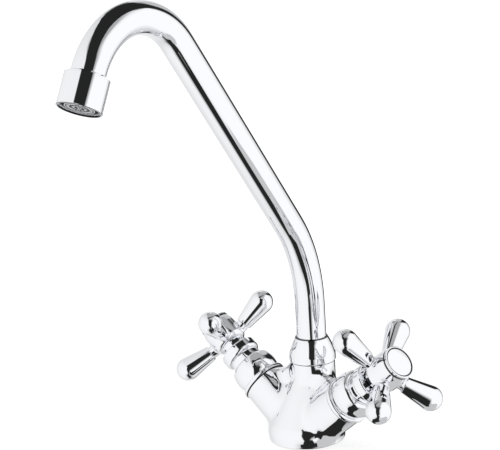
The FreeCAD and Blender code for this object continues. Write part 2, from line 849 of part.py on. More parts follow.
parts.append(turned("outlet_bush", [
    (D.tube_radius + D.seat_clearance, None),
    (D.bush_face_radius, None),
    (D.shell_radius, D.bush_chamfer_height),
    (D.shell_radius, D.bush_shoulder),
    (D.bush_thread_radius, D.bush_shoulder),
    (D.bush_thread_radius, D.bush_length),
    (D.tube_radius - D.tube_wall, D.bush_length),
    (D.tube_radius - D.tube_wall, D.tube_insert + D.seat_clearance),
    (D.tube_radius + D.seat_clearance, D.tube_insert + D.seat_clearance),
], outlet_frame))

aerator_shell = turned("aerator_shell", [
    (shell_bore, D.bush_shoulder + D.seat_clearance),
    (D.shell_radius, D.bush_shoulder + D.seat_clearance),
    (D.shell_radius, D.shell_length),
    (D.shell_mouth_radius, D.shell_length),
    (D.shell_mouth_radius, lip_low),
    (shell_bore, lip_low),
], outlet_frame)
soften(aerator_shell, "shell_mouth_round", D.shell_edge_round,
       [(D.shell_radius, D.shell_length), (D.shell_mouth_radius, D.shell_length)])
parts.append(aerator_shell)

parts.append(turned("aerator_washer", [
    (insert_radius - D.washer_width, washer_low),
    (insert_radius, washer_low),
    (insert_radius, washer_low + D.washer_thickness),
    (insert_radius - D.washer_width, washer_low + D.washer_thickness),
], outlet_frame))

# Insert: a web with rings of jets, and concentric walls that calm the water below it, the middle
# one rebated round the screen
insert = turned("aerator_insert", [
    (None, insert_low),
    (insert_radius, insert_low),
    (insert_radius, insert_low + D.insert_web),
    (None, insert_low + D.insert_web),
], outlet_frame)
jet_inset = (D.insert_ring_pitch + D.insert_ring_width) / 2
for ring_radius, count, place in ((wall_radii[0], D.outer_jet_count, "outer"),
                                  (wall_radii[1], D.inner_jet_count, "inner")):
    jet = on_plane(insert, f"{place}_jet_outline", "XY_Plane")
    lift(jet, insert_low + D.insert_web)
    circle(jet, D.insert_hole_radius, ring_radius - jet_inset)
    jet_cut = pocket_down(insert, f"{place}_jet", jet, D.insert_web)
    repeat_round(insert, f"{place}_jets", jet_cut, jet, count)
walls = on_plane(insert, "insert_walls_outline", "XY_Plane")
lift(walls, insert_low + D.insert_web)
for radius in wall_radii:
    circle(walls, radius)
    circle(walls, radius - D.insert_ring_width)
insert_walls = insert.newObject("PartDesign::Pad", "insert_walls")
insert_walls.Profile = walls
bind(insert_walls, "Length", insert_high - insert_low - D.insert_web)
doc.recompute()
rebate = on_plane(insert, "mesh_rebate_outline", "XY_Plane")
lift(rebate, insert_high)
circle(rebate, mesh_radius + D.seat_clearance)
pocket_down(insert, "mesh_rebate", rebate, D.mesh_thickness + D.seat_clearance)
parts.append(insert)

# Screen: a disc with square meshes wherever a whole mesh fits inside the wall that holds it
mesh = new_body("aerator_mesh", outlet_frame)
mesh_outline = on_plane(mesh, "mesh_outline", "XY_Plane")
lift(mesh_outline, mesh_low)
circle(mesh_outline, mesh_radius)
open_radius = (mesh_radius - D.insert_ring_width / 2).value
reach = int(open_radius / D.mesh_pitch.value)
for column in range(-reach, reach + 1):
    for row in range(-reach, reach + 1):
        centre = V(column, row, 0) * D.mesh_pitch.value
        half = D.mesh_hole.value / 2
        if centre.Length + half * math.sqrt(2) > open_radius:
            continue
        corners = [centre + V(dx * half, dy * half, 0) for dx, dy in ((-1, -1), (1, -1), (1, 1), (-1, 1))]
        mesh_outline.addGeometry(
            [Part.LineSegment(corners[side - 1], corners[side]) for side in range(4)], False)
mesh_plate = mesh.newObject("PartDesign::Pad", "mesh_plate")
mesh_plate.Profile = mesh_outline
bind(mesh_plate, "Length", D.mesh_thickness)
doc.recompute()
parts.append(mesh)

# Valve heights, all measured along the valve axis from where the two axes cross
nose_low = valve_seat + D.nose_gap
nose_bore = D.nose_radius - D.cartridge_wall
disc_split = nose_low + D.disc_thickness + D.seat_clearance
foot_low = disc_split + D.disc_thickness + D.seat_clearance
foot_high = foot_low + D.spindle_foot_height
spindle_bore = D.spindle_radius + D.running_clearance
face_groove_high = arm_face - D.face_groove_top
face_groove_low = face_groove_high - D.face_groove_width
flange_high = arm_face + D.seat_clearance + D.cartridge_flange_height
barrel_high = arm_face + D.barrel_top
thread_radius = D.valve_thread_radius - D.thread_clearance
disc_radius = nose_bore - D.running_clearance
spindle_root = D.spindle_radius - D.spindle_groove
spindle_groove_low = arm_face + D.spindle_groove_height
spindle_groove_high = spindle_groove_low + D.spindle_groove_width
clip_low = barrel_high + D.running_clearance
clip_high = clip_low + D.clip_thickness
recess_low = arm_face + D.bonnet_neck_top + D.upper_flange_height - D.bonnet_recess_depth
bonnet_top = arm_face + D.bonnet_neck_top + D.upper_flange_height
handle_low = bonnet_top + D.handle_gap
hub_low = handle_low + D.facet_ring_height
hub_top = hub_low + D.hub_height
cap_floor = hub_top - D.cap_well_depth
screw_floor = cap_floor - D.screw_well_depth
spline_roof = screw_floor - D.hub_web
spindle_top = spline_roof - D.spindle_end_gap


def seat_seal(side_name, side):
    return turned(f"{side_name}_seat_seal", [
        (D.seal_inner_radius, valve_seat + D.seat_clearance),
        (D.seal_outer_radius, valve_seat + D.seat_clearance),
        (D.seal_outer_radius, nose_low - D.seat_clearance),
        (D.seal_inner_radius, nose_low - D.seat_clearance),
    ], valve_frame(side))


def ceramic_disc(label, low, frame, slot=False):
    """A disc with two water ports, and a slot for the spindle's tang in the moving one."""
    disc = turned(label, [
        (None, low),
        (disc_radius, low),
        (disc_radius, low + D.disc_thickness),
        (None, low + D.disc_thickness),
    ], frame)
    ports = on_plane(disc, f"{label}_ports_outline", "XY_Plane")
    lift(ports, low + D.disc_thickness)
    circle(ports, D.disc_port_radius, None, D.disc_port_offset)
    ports.addGeometry(Part.Circle(V(0, -D.disc_port_offset.value, 0), V(0, 0, 1), 1), False)
    ports.addConstraint([
        Sketcher.Constraint("Equal", 0, 1),
        Sketcher.Constraint("Symmetric", 0, 3, 1, 3, -1, 1),
    ])
    pocket_down(disc, f"{label}_ports", ports, D.disc_thickness)
    if slot:
        tang_way = on_plane(disc, f"{label}_slot_outline", "XY_Plane")
        lift(tang_way, low + D.disc_thickness)
        centred_rectangle(tang_way, D.disc_slot_length, D.tang_width + D.running_clearance * 2)
        pocket_down(disc, f"{label}_slot", tang_way, D.tang_depth + D.running_clearance)
    return disc


def cartridge_body(side_name, side):
    """Headwork: nose with the disc chamber, thread, flange, hexagon and barrel."""
    label = f"{side_name}_cartridge_body"
    body = turned(label, [
        (nose_bore, nose_low),
        (D.nose_radius, nose_low),
        (D.nose_radius, arm_face - D.valve_thread_depth + D.thread_runout),
        (thread_radius, arm_face - D.valve_thread_depth + D.thread_runout),
        (thread_radius, face_groove_low),
        (D.face_groove_radius, face_groove_low),
        (D.face_groove_radius, face_groove_high),
        (thread_radius, face_groove_high),
        (thread_radius, arm_face + D.seat_clearance),
        (D.cartridge_flange_radius, arm_face + D.seat_clearance),
        (D.cartridge_flange_radius, flange_high),
        (D.barrel_radius, flange_high),
        (D.barrel_radius, barrel_high),
        (spindle_bore, barrel_high),
        (spindle_bore, foot_high + D.running_clearance),
        (nose_bore, foot_high + D.running_clearance),
    ], valve_frame(side))
    hexagon = body.newObject("PartDesign::AdditivePrism", f"{label}_hexagon")
    attach_solid(hexagon, body, flange_high)
    hexagon.Polygon = 6
    bind(hexagon, "Circumradius", D.hex_radius)
    bind(hexagon, "Height", D.hex_height)
    doc.recompute()
    way = body.newObject("PartDesign::Groove", f"{label}_spindle_way")
    way_outline = on_plane(body, f"{label}_spindle_way_outline", "XZ_Plane")
    draw(way_outline, [
        (None, flange_high - D.hex_height),
        (spindle_bore, flange_high - D.hex_height),
        (spindle_bore, barrel_high + 1),
        (None, barrel_high + 1),
    ])
    way.Profile = way_outline
    way.ReferenceAxis = (way_outline, ["V_Axis"])
    way.Angle = 360
    windows = on_plane(body, f"{label}_windows_outline", "XZ_Plane")
    bind(windows, "AttachmentOffset.Base.y", disc_split + D.disc_thickness / 2)
    centred_rectangle(windows, D.window_width, D.disc_thickness)
    window_cut = body.newObject("PartDesign::Pocket", f"{label}_windows")
    window_cut.Profile = windows
    window_cut.Midplane = True
    bind(window_cut, "Length", D.valve_thread_radius * 3)
    doc.recompute()
    body.Tip = window_cut
    doc.recompute()
    return body


def spindle(side_name, side, angle):
    """Foot with the tang that turns the moving disc, shaft with two grooves, and splined end."""
    label = f"{side_name}_spindle"
    body = turned(label, [
        (None, foot_low),
        (D.spindle_foot_radius, foot_low),
        (D.spindle_foot_radius, foot_high),
        (D.spindle_radius, foot_high),
        (D.spindle_radius, spindle_groove_low),
        (spindle_root, spindle_groove_low),
        (spindle_root, spindle_groove_high),
        (D.spindle_radius, spindle_groove_high),
        (D.spindle_radius, clip_low),
        (spindle_root, clip_low),
        (spindle_root, clip_high + D.seat_clearance),
        (D.spindle_radius, clip_high + D.seat_clearance),
        (D.spindle_radius, spindle_top),
        (D.screw_radius + D.seat_clearance, spindle_top),
        (D.screw_radius + D.seat_clearance, spindle_top - D.screw_hole_depth),
        (None, spindle_top - D.screw_hole_depth),
    ], valve_frame(side, angle=angle.value))
    tang_outline = on_plane(body, f"{label}_tang_outline", "XY_Plane")
    lift(tang_outline, foot_low)
    centred_rectangle(tang_outline, D.tang_length, D.tang_width)
    tang = body.newObject("PartDesign::Pad", f"{label}_tang")
    tang.Profile = tang_outline
    bind(tang, "Length", D.tang_depth)
    tang.Reversed = True
    doc.recompute()
    groove_outline = on_plane(body, f"{label}_spline_outline", "XY_Plane")
    lift(groove_outline, spindle_top)
    bind(groove_outline, "AttachmentOffset.Base.x", D.spindle_radius)
    centred_rectangle(groove_outline, D.spline_depth * 2, D.spline_depth * 2)
    spline_cut = pocket_down(body, f"{label}_spline_groove", groove_outline, D.spline_length)
    repeat_round(body, f"{label}_spline", spline_cut, tang_outline, D.spline_count)
    return body


def spindle_clip(side_name, side, angle):
    """Open ring in the spindle's upper groove, resting on the barrel."""
    label = f"{side_name}_spindle_clip"
    body = turned(label, [
        (spindle_root + D.seat_clearance, clip_low),
        (D.clip_radius, clip_low),
        (D.clip_radius, clip_high),
        (spindle_root + D.seat_clearance, clip_high),
    ], valve_frame(side, angle=angle.value))
    bind(doc.getObject(f"{label}_turning"), "Angle", as_size(360) - D.clip_mouth_angle)
    doc.recompute()
    return body


def bonnet(side_name, side):
    """Bell cover: lower flange, bulb, band, neck and upper flange over the cartridge."""
    label = f"{side_name}_bonnet"
    barrel_way = D.barrel_radius + D.thread_clearance
    lower_top = arm_face + D.lower_flange_height
    neck_foot = arm_face + D.bulb_top + D.bulb_band_height
    neck_high = arm_face + D.bonnet_neck_top
    body = turned(label, [
        (D.bonnet_cavity_radius, arm_face),
        (D.lower_flange_radius, arm_face),
        (D.lower_flange_radius, lower_top),
        (D.bulb_foot_radius, lower_top, D.bulb_curve, 1),
        (D.bulb_shoulder_radius, arm_face + D.bulb_shoulder, D.bulb_shoulder_curve, 1),
        (D.bulb_top_radius, arm_face + D.bulb_top),
        (D.bulb_top_radius, neck_foot),
        (D.bonnet_neck_radius, neck_foot),
        (D.bonnet_neck_radius, neck_high),
        (D.upper_flange_radius, neck_high),
        (D.upper_flange_radius, bonnet_top),
        (D.bonnet_recess_radius, bonnet_top),
        (D.bonnet_recess_radius, recess_low),
        (barrel_way, recess_low),
        (barrel_way, arm_face + D.bonnet_cavity_depth),
        (D.bonnet_cavity_radius, arm_face + D.bonnet_cavity_depth),
    ], valve_frame(side))
    soften(body, f"{label}_lower_round", D.lower_flange_round,
           [(D.lower_flange_radius, arm_face), (D.lower_flange_radius, lower_top)])
    soften(body, f"{label}_upper_foot_round",
           capped(D.upper_flange_foot_round, D.upper_flange_radius - D.bonnet_neck_radius),
           [(D.upper_flange_radius, neck_high)])
    soften(body, f"{label}_upper_top_round", D.upper_flange_top_round,
           [(D.upper_flange_radius, bonnet_top)])
    return body


# Cross handle: turned hub, faceted ring, and four club arms turned about their own tilted axes

def root_edges(shape):
    """Free curves where the arms' necks enter the hub."""
    return [f"Edge{number}" for number, edge in enumerate(shape.Edges, start=1)
            if not edge.Degenerated and isinstance(edge.Curve, Part.BSplineCurve)]


def cross_handle(side_name, side, angle):
    label = f"{side_name}_cross_handle"
    foot_top = hub_low + D.hub_foot_height
    body = new_body(label, valve_frame(side, angle=angle.value))
    skirt_low = handle_low - D.skirt_height
    hub = turn(body, f"{label}_hub", [
        (None, skirt_low),
        (D.skirt_radius, skirt_low),
        (D.skirt_radius, hub_low),
        (D.hub_foot_radius, hub_low, D.hub_foot_curve, 1),
        (D.hub_radius, foot_top),
        (D.hub_radius, foot_top + D.hub_barrel_height, D.hub_top_curve, 1),
        (D.hub_top_radius, hub_top),
        (None, hub_top),
    ])
    arm_outline = on_plane(body, f"{label}_arm_outline", "XZ_Plane")
    bind(arm_outline, "AttachmentOffset.Base.y", handle_low + D.handle_arm_height)
    bind(arm_outline, "AttachmentOffset.Rotation.Angle", D.handle_arm_rise)
    taper_end = D.handle_arm_length - D.arm_ball_radius * sine(D.arm_taper)
    taper_end_radius = D.arm_ball_radius * cosine(D.arm_taper)
    collar_start = D.arm_neck_length + D.arm_collar_step
    collar_radius = taper_end_radius - (taper_end - collar_start) * sine(D.arm_taper) / cosine(D.arm_taper)
    draw(arm_outline, [
        (D.hub_radius / 2, None),
        (D.handle_arm_length + D.arm_ball_radius, None, D.arm_ball_radius, 1),
        (taper_end, taper_end_radius),
        (collar_start, collar_radius),
        (D.arm_neck_length, D.arm_neck_radius),
        (D.hub_radius / 2, D.arm_neck_radius),
    ])
    arm = body.newObject("PartDesign::Revolution", f"{label}_arm")
    arm.Profile = arm_outline
    arm.ReferenceAxis = (arm_outline, ["H_Axis"])
    arm.Angle = 360
    doc.recompute()
    arms = repeat_round(body, f"{label}_arms", arm, hub.Profile[0], D.arm_count, axis="V_Axis")
    soften(body, f"{label}_root_fillet", D.arm_root_fillet, [], extra=root_edges(arms.Shape))
    ring = body.newObject("PartDesign::AdditivePrism", f"{label}_facet_ring")
    attach_solid(ring, body, handle_low)
    bind(ring, "Polygon", D.facet_count)
    bind(ring, "Circumradius", D.facet_ring_radius)
    bind(ring, "Height", D.facet_ring_height)
    doc.recompute()
    turn(body, f"{label}_bores", [
        (None, skirt_low),
        (D.skirt_radius - D.skirt_wall, skirt_low),
        (D.skirt_radius - D.skirt_wall, handle_low),
        (spindle_bore, handle_low),
        (spindle_bore, spline_roof),
        (D.screw_radius + D.swivel_clearance, spline_roof),
        (D.screw_radius + D.swivel_clearance, screw_floor),
        (D.screw_well_radius, screw_floor),
        (D.screw_well_radius, cap_floor),
        (D.cap_well_radius, cap_floor),
        (D.cap_well_radius, hub_top + 1),
        (None, hub_top + 1),
    ], kind="PartDesign::Groove")
    return body


def handle_screw(side_name, side, angle):
    """Pan-head screw through the hub's web into the spindle, with a hexagon socket."""
    label = f"{side_name}_handle_screw"
    head_low = screw_floor + D.seat_clearance
    body = turned(label, [
        (None, head_low - D.screw_length),
        (D.screw_radius, head_low - D.screw_length),
        (D.screw_radius, head_low),
        (D.screw_head_radius, head_low),
        (D.screw_head_radius, head_low + D.screw_head_height),
        (None, head_low + D.screw_head_height),
    ], valve_frame(side, angle=angle.value))
    soften(body, f"{label}_head_round", D.screw_head_height / 3,
           [(D.screw_head_radius, head_low + D.screw_head_height)])
    socket = body.newObject("PartDesign::SubtractivePrism", f"{label}_socket")
    attach_solid(socket, body, head_low + D.screw_head_height / 3)
    socket.Polygon = 6
    bind(socket, "Circumradius", D.screw_socket_radius)
    bind(socket, "Height", D.screw_head_height)
    doc.recompute()
    return body


def index_cap(side_name, side, angle):
    """Plain snap-in cap: raised rim, shallow dish with a low dome, and a hollow plug."""
    label = f"{side_name}_index_cap"
    low = hub_top + D.seat_clearance
    rim_top = low + D.cap_rim_height
    plug_radius_out = D.cap_well_radius - D.running_clearance
    dish_radius = D.cap_radius - D.cap_rim_width
    dish_low = rim_top - D.cap_dish_depth
    dome_curve = (dish_radius * dish_radius / D.cap_dome_height + D.cap_dome_height) / 2
    body = turned(label, [
        (plug_radius_out - D.cap_plug_wall, low - D.cap_plug_length),
        (plug_radius_out, low - D.cap_plug_length),
        (plug_radius_out, low),
        (D.cap_radius, low),
        (D.cap_radius, rim_top),
        (dish_radius, rim_top),
        (dish_radius, dish_low, dome_curve, 1),
        (None, dish_low + D.cap_dome_height),
        (None, low + D.cap_web_height),
        (plug_radius_out - D.cap_plug_wall, low + D.cap_web_height),
    ], valve_frame(side, angle=angle.value))
    soften(body, f"{label}_rim_round", D.cap_rim_round,
           [(D.cap_radius, rim_top), (dish_radius, rim_top)])
    return body


for side_name, side, angle in SIDES:
    parts.append(seat_seal(side_name, side))
    parts.append(ceramic_disc(f"{side_name}_fixed_disc", nose_low, valve_frame(side)))
    parts.append(ceramic_disc(f"{side_name}_moving_disc", disc_split,
                              valve_frame(side, angle=angle.value), slot=True))
    parts.append(cartridge_body(side_name, side))
    cartridge_oring = oring(f"{side_name}_cartridge_oring", D.face_groove_radius, D.valve_thread_radius,
                            face_groove_low + D.face_groove_width / 2, valve_frame(side))
    spindle_oring = oring(f"{side_name}_spindle_oring", spindle_root, spindle_bore,
                          spindle_groove_low + D.spindle_groove_width / 2, valve_frame(side))
    parts += [cartridge_oring, spindle_oring]
    parts.append(spindle(side_name, side, angle))
    parts.append(spindle_clip(side_name, side, angle))
    parts.append(bonnet(side_name, side))
    parts.append(cross_handle(side_name, side, angle))
    parts.append(handle_screw(side_name, side, angle))
    parts.append(index_cap(side_name, side, angle))

doc.recompute()

# Check every object, then write one file per part
for thing in doc.Objects:
    faults = [state for state in thing.State if state in ("Invalid", "Error")]
    if faults:
        raise RuntimeError(f"{thing.Name}: {faults}")
for thing in parts:
    if thing.Shape.isNull() or not thing.Shape.isValid():
        raise RuntimeError(f"{thing.Label}: no valid shape")
for thing in parts:
    thing.Shape.exportStep(step_file(thing))
    print(f"{thing.Label}: {thing.Shape.Volume / 1000:.2f} cm3, {len(thing.Shape.Solids)} solid(s)")
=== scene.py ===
import json
import math

import bpy
from mathutils import Matrix, Vector


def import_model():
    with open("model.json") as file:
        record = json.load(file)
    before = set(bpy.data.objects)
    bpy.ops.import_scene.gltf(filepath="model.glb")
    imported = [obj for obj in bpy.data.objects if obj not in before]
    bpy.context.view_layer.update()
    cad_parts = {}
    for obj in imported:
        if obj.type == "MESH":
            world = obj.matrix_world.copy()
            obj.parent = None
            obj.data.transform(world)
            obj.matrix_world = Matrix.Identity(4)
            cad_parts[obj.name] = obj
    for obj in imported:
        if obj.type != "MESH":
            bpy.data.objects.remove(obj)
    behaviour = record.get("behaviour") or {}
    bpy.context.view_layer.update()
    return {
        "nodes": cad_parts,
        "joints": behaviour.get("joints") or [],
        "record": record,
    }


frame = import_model()

# Camera of the photograph: a point it aims at, its place round it, and its small turns in degrees
AIM = Vector((0, 0.0085, 0.130))
AZIMUTH, ELEVATION, DISTANCE = 41.55, 12.95, 0.96315
YAW, PITCH, ROLL = 1.95, 0.08, -3.01
LENS, SENSOR = 117.44, 36.0
NEAR, BEYOND = 0.05, 20.0
# What the lamps point at
LAMP_TARGET = Vector((0, -0.05, 0.13))


# Shader helpers

class Nodes:
    """A short way to build a node tree."""

    def __init__(self, tree):
        self.tree = tree
        tree.nodes.clear()

    def add(self, kind, inputs=None, **settings):
        node = self.tree.nodes.new(kind)
        for key, value in settings.items():
            setattr(node, key, value)
        for key, value in (inputs or {}).items():
            self.put(node.inputs[key], value)
        return node

    def put(self, socket, value):
        if isinstance(value, bpy.types.NodeSocket):
            self.tree.links.new(value, socket)
        elif isinstance(value, bpy.types.Node):
            self.tree.links.new(value.outputs[0], socket)
        else:
            socket.default_value = value

    def math(self, operation, *values):
        node = self.add("ShaderNodeMath", operation=operation)
        for socket, value in zip(node.inputs, values):
            self.put(socket, value)
        return node.outputs[0]

    def vector(self, operation, *values):
        return self.add("ShaderNodeVectorMath", dict(enumerate(values)), operation=operation)

    def step(self, value, start, stop, low=0.0, high=1.0):
        """Runs smoothly from low to high as the value goes from start to stop."""
        node = self.add("ShaderNodeMapRange", interpolation_type="SMOOTHSTEP")
        for socket, number in zip(node.inputs, (value, start, stop, low, high)):
            self.put(socket, number)
        return node.outputs[0]

    def ramp(self, value, start, stop, low, high):
        """Runs straight from low to high as the value goes from start to stop."""
        node = self.add("ShaderNodeMapRange")
        for socket, number in zip(node.inputs, (value, start, stop, low, high)):
            self.put(socket, number)
        return node.outputs[0]

    def curve(self, value, points):
        """A smooth curve through (value, result) points."""
        start, stop = points[0][0], points[-1][0]
        low, high = min(y for _, y in points), max(y for _, y in points)
        share = self.ramp(value, start, stop, 0.0, 1.0)
        node = self.add("ShaderNodeFloatCurve", {"Value": share})
        line = node.mapping.curves[0]
        places = [((x - start) / (stop - start), (y - low) / (high - low)) for x, y in points]
        line.points[0].location, line.points[1].location = places[0], places[-1]
        for place in places[1:-1]:
            line.points.new(*place)
        node.mapping.update()
        return self.ramp(node.outputs[0], 0.0, 1.0, low, high)

    def blend(self, factor, first, second):
        """Runs from the first colour to the second as the factor goes from 0 to 1."""
        node = self.add("ShaderNodeMix", {"Factor": factor}, data_type="RGBA")
        self.put(node.inputs[6], first)
        self.put(node.inputs[7], second)
        return node.outputs[2]


def material(name):
    made = bpy.data.materials.new(name)
    made.use_nodes = True
    return made, Nodes(made.node_tree)


def noise(nodes, scale, detail=2.0):
    """Noise in the object's own metres; scale is waves per metre."""
    where = nodes.add("ShaderNodeTexCoord").outputs["Object"]
    field = nodes.add("ShaderNodeTexNoise", {"Vector": where, "Scale": scale, "Detail": detail})
    return field.outputs["Fac"]


def finish_material(nodes, colour, metallic, rough, bumps):
    """Principled surface with a roughness range and a stack of bumps given as (height, depth)."""
    normal = None
    for height, depth in bumps:
        inputs = {"Height": height, "Strength": 1.0, "Distance": depth}
        if normal is not None:
            inputs["Normal"] = normal
        normal = nodes.add("ShaderNodeBump", inputs).outputs[0]
    inputs = {"Base Color": colour, "Metallic": metallic, "Roughness": rough, "Normal": normal}
    surface = nodes.add("ShaderNodeBsdfPrincipled", inputs)
    nodes.add("ShaderNodeOutputMaterial", {"Surface": surface})


def grained(nodes, colour, metallic, rough, field, bumps):
    """Principled surface whose roughness follows the grain, between the two values of rough."""
    finish_material(nodes, colour, metallic, nodes.step(field, 0.2, 0.8, *rough), bumps)


CHROME_COLOUR = (0.915, 0.925, 0.95, 1)
# Painted shade: the near-black the chrome turns where joints and bores would lie in shadow, and the width
# over which these painted shade lines fade in
PAINTED_SHADE_COLOUR = (0.05, 0.05, 0.055, 1)
SHADE_LINE_EDGE = 1.2e-4
# Waves per metre of the haze, of the metal's slow waves and of the polishing marks
HAZE_SCALE, WAVE_SCALE, POLISH_SCALE = 900.0, 110.0, 2500.0
POLISH_DEPTH = 6e-8
# Depth of the slow waves, lowest and highest roughness
CAST_FINISH = (1.5e-6, 0.02, 0.04)
TURNED_FINISH = (6e-7, 0.015, 0.03)
TUBE_FINISH = (6e-7, 0.012, 0.025)


def axis_fields(nodes, point, axis):
    """Distance along an axis and distance out from it, in metres, at each spot of the surface."""
    where = nodes.add("ShaderNodeTexCoord").outputs["Object"]
    offset = nodes.vector("SUBTRACT", where, tuple(point)).outputs[0]
    along = nodes.vector("DOT_PRODUCT", offset, tuple(axis))
    across = nodes.vector("CROSS_PRODUCT", offset, tuple(axis)).outputs[0]
    out = nodes.vector("LENGTH", across)
    return along.outputs["Value"], out.outputs["Value"]


def band(nodes, value, low, high):
    """One between low and high, fading over the edge of a painted shade line."""
    rising = nodes.step(value, low - SHADE_LINE_EDGE, low + SHADE_LINE_EDGE)
    return nodes.math("MULTIPLY", rising, nodes.step(value, high - SHADE_LINE_EDGE, high + SHADE_LINE_EDGE, 1.0, 0.0))


def chrome(name, finish, shade_lines=None):
    """Polished chrome plate: slow waves of the metal below, fine polishing haze.

    The last argument gives a point and axis, then the bands along and out from it where painted shade
    darkens the chrome: dark lines of shade at joints and in bores."""
    made, nodes = material(name)
    waviness, rough_low, rough_high = finish
    haze = nodes.step(noise(nodes, HAZE_SCALE, 3.0), 0.3, 0.7, rough_low, rough_high)
    colour = CHROME_COLOUR
    if shade_lines:
        point, axis, bands = shade_lines
        along, out = axis_fields(nodes, point, axis)
        dark = 0.0
        for (low, high), (near, far) in bands:
            line = nodes.math("MULTIPLY", band(nodes, along, low, high), band(nodes, out, near, far))
            dark = nodes.math("MAXIMUM", dark, line)
        # Painted shade: the chrome's colour goes near-black in these bands
        colour = nodes.blend(dark, CHROME_COLOUR, PAINTED_SHADE_COLOUR)
    waves, polish = noise(nodes, WAVE_SCALE, 1.0), noise(nodes, POLISH_SCALE)
    finish_material(nodes, colour, 1.0, haze, [(waves, waviness), (polish, POLISH_DEPTH)])
    return made


def plain(name, colour, metallic, rough, grain, depth, tint=0.06):
    """Moulded or machined surface with a grain of this many waves per metre."""
    made, nodes = material(name)
    field = noise(nodes, grain, 3.0)
    darker = tuple(c * (1 - tint) for c in colour) + (1,)
    lighter = tuple(min(1, c * (1 + tint)) for c in colour) + (1,)
    grained(nodes, nodes.blend(field, darker, lighter), metallic, rough, field, [(field, depth)])
    return made


CAST = chrome("chrome_casting", CAST_FINISH)
TURNED = chrome("chrome_turned", TURNED_FINISH)
TUBE = chrome("chrome_tube", TUBE_FINISH)
BRASS = plain("brass", (0.76, 0.60, 0.32), 1.0, (0.22, 0.34), 1800.0, 4e-6)
STEEL = plain("steel", (0.56, 0.57, 0.58), 1.0, (0.25, 0.38), 2600.0, 2e-6)
CERAMIC = plain("ceramic", (0.90, 0.89, 0.85), 0.0, (0.2, 0.32), 2200.0, 1e-6, tint=0.02)
RUBBER = plain("rubber", (0.03, 0.03, 0.03), 0.0, (0.5, 0.7), 3000.0, 8e-6)
WHITE_PLASTIC = plain("white_plastic", (0.85, 0.85, 0.82), 0.0, (0.35, 0.5), 2500.0, 3e-6, tint=0.03)
GREY_PLASTIC = plain("grey_plastic", (0.35, 0.36, 0.37), 0.0, (0.35, 0.5), 2500.0, 3e-6)

FINISHES = {
    "chrome": TURNED, "brass": BRASS, "steel": STEEL, "ceramic": CERAMIC, "rubber": RUBBER,
    "white_plastic": WHITE_PLASTIC, "grey_plastic": GREY_PLASTIC,
}
SPECIAL = {"mixer_body": CAST, "spout_tube": TUBE, "cold_cross_handle": CAST, "hot_cross_handle": CAST}

slots = {row["node"]: row["material_slot"] for row in frame["record"]["subparts"]}
for name, node in frame["nodes"].items():
    node.data.materials.clear()
    node.data.materials.append(SPECIAL.get(name, FINISHES[slots[name]]))


# Painted shade lines at the joints and painted shade in the outlet's rings and bore, placed by the nodes'
# own extents

ANY = (-1.0, 1.0)
FAR = 1.0
SPOUT_AXIS, UP = Vector((0, 0.0085, 0)), Vector((0, 0, 1))
# Widths of the painted shade lines at the bonnets' feet and at both ends of the nut
BONNET_LINE, NUT_LINE = 8e-4, 5e-4
# Index cap: the painted shade line in the dish near its top, and the painted shade line round its side
CAP_TOP, CAP_DISH = 2e-3, (0.0083, 0.0091)
CAP_FOOT, CAP_SIDE = 1.6e-3, (0.0095, 0.02)
# Shell's mouth: the painted shade line round its outer rim and the painted shade in its bore
MOUTH_LINE, MOUTH_RIM = 2.5e-4, (0.01135, 0.02)
BORE_LINE, MOUTH_BORE = 5e-3, (0.0, 0.0109)
# Flow former: depths over which painted shade darkens it below its lips, and its colours
LIP_LIGHT, LIP_DARK = 3e-4, 1.2e-3
LIP_COLOUR, SLOT_SHADE_COLOUR = (0.62, 0.63, 0.65, 1), (0.02, 0.02, 0.022, 1)
# Screen: spacing, sharpness, depth and colours of its rings, with painted shade in the grooves between them
SCREEN_RING, RING_EDGE, RING_DEPTH = 2.6e-3, 0.35, 3e-5
RING_COLOUR, GROOVE_SHADE_COLOUR = (0.72, 0.73, 0.75, 1), (0.05, 0.05, 0.055, 1)
SCREEN_METAL = 0.6
OUTLET_ROUGH, OUTLET_GRAIN, OUTLET_DEPTH = (0.3, 0.45), 2500.0, 3e-6


def extent(name, point, axis):
    """Lowest and highest place of a node along an axis."""
    places = [(vertex.co - point).dot(axis) for vertex in frame["nodes"][name].data.vertices]
    return min(places), max(places)


def give(name, surface):
    frame["nodes"][name].data.materials.clear()
    frame["nodes"][name].data.materials.append(surface)


# Each handle's bonnet and index cap get painted shade lines along the handle's turning axis
for joint in frame["joints"]:
    side = joint["name"].split("_")[0]
    if side == "spout":
        continue
    point, axis = Vector(joint["pos_m"]), Vector(joint["axis"]).normalized()
    low, high = extent(f"{side}_bonnet", point, axis)
    lines = [((low - FAR, low + BONNET_LINE), ANY)]
    give(f"{side}_bonnet", chrome(f"{side}_bonnet_chrome", TURNED_FINISH, (point, axis, lines)))
    low, high = extent(f"{side}_index_cap", point, axis)
    lines = [((high - CAP_TOP, high + FAR), CAP_DISH), ((high - FAR, high - CAP_FOOT), CAP_SIDE)]
    give(f"{side}_index_cap", chrome(f"{side}_cap_chrome", TURNED_FINISH, (point, axis, lines)))

# Painted shade lines at the nut's bottom and top
low, high = extent("spout_nut", SPOUT_AXIS, UP)
lines = [((low - FAR, low + NUT_LINE), ANY), ((high - NUT_LINE, high + FAR), ANY)]
give("spout_nut", chrome("spout_nut_chrome", TURNED_FINISH, (SPOUT_AXIS, UP, lines)))


def middle(name):
    """Mean place of a node's vertices."""
    vertices = frame["nodes"][name].data.vertices
    return sum((vertex.co for vertex in vertices), Vector()) / len(vertices)


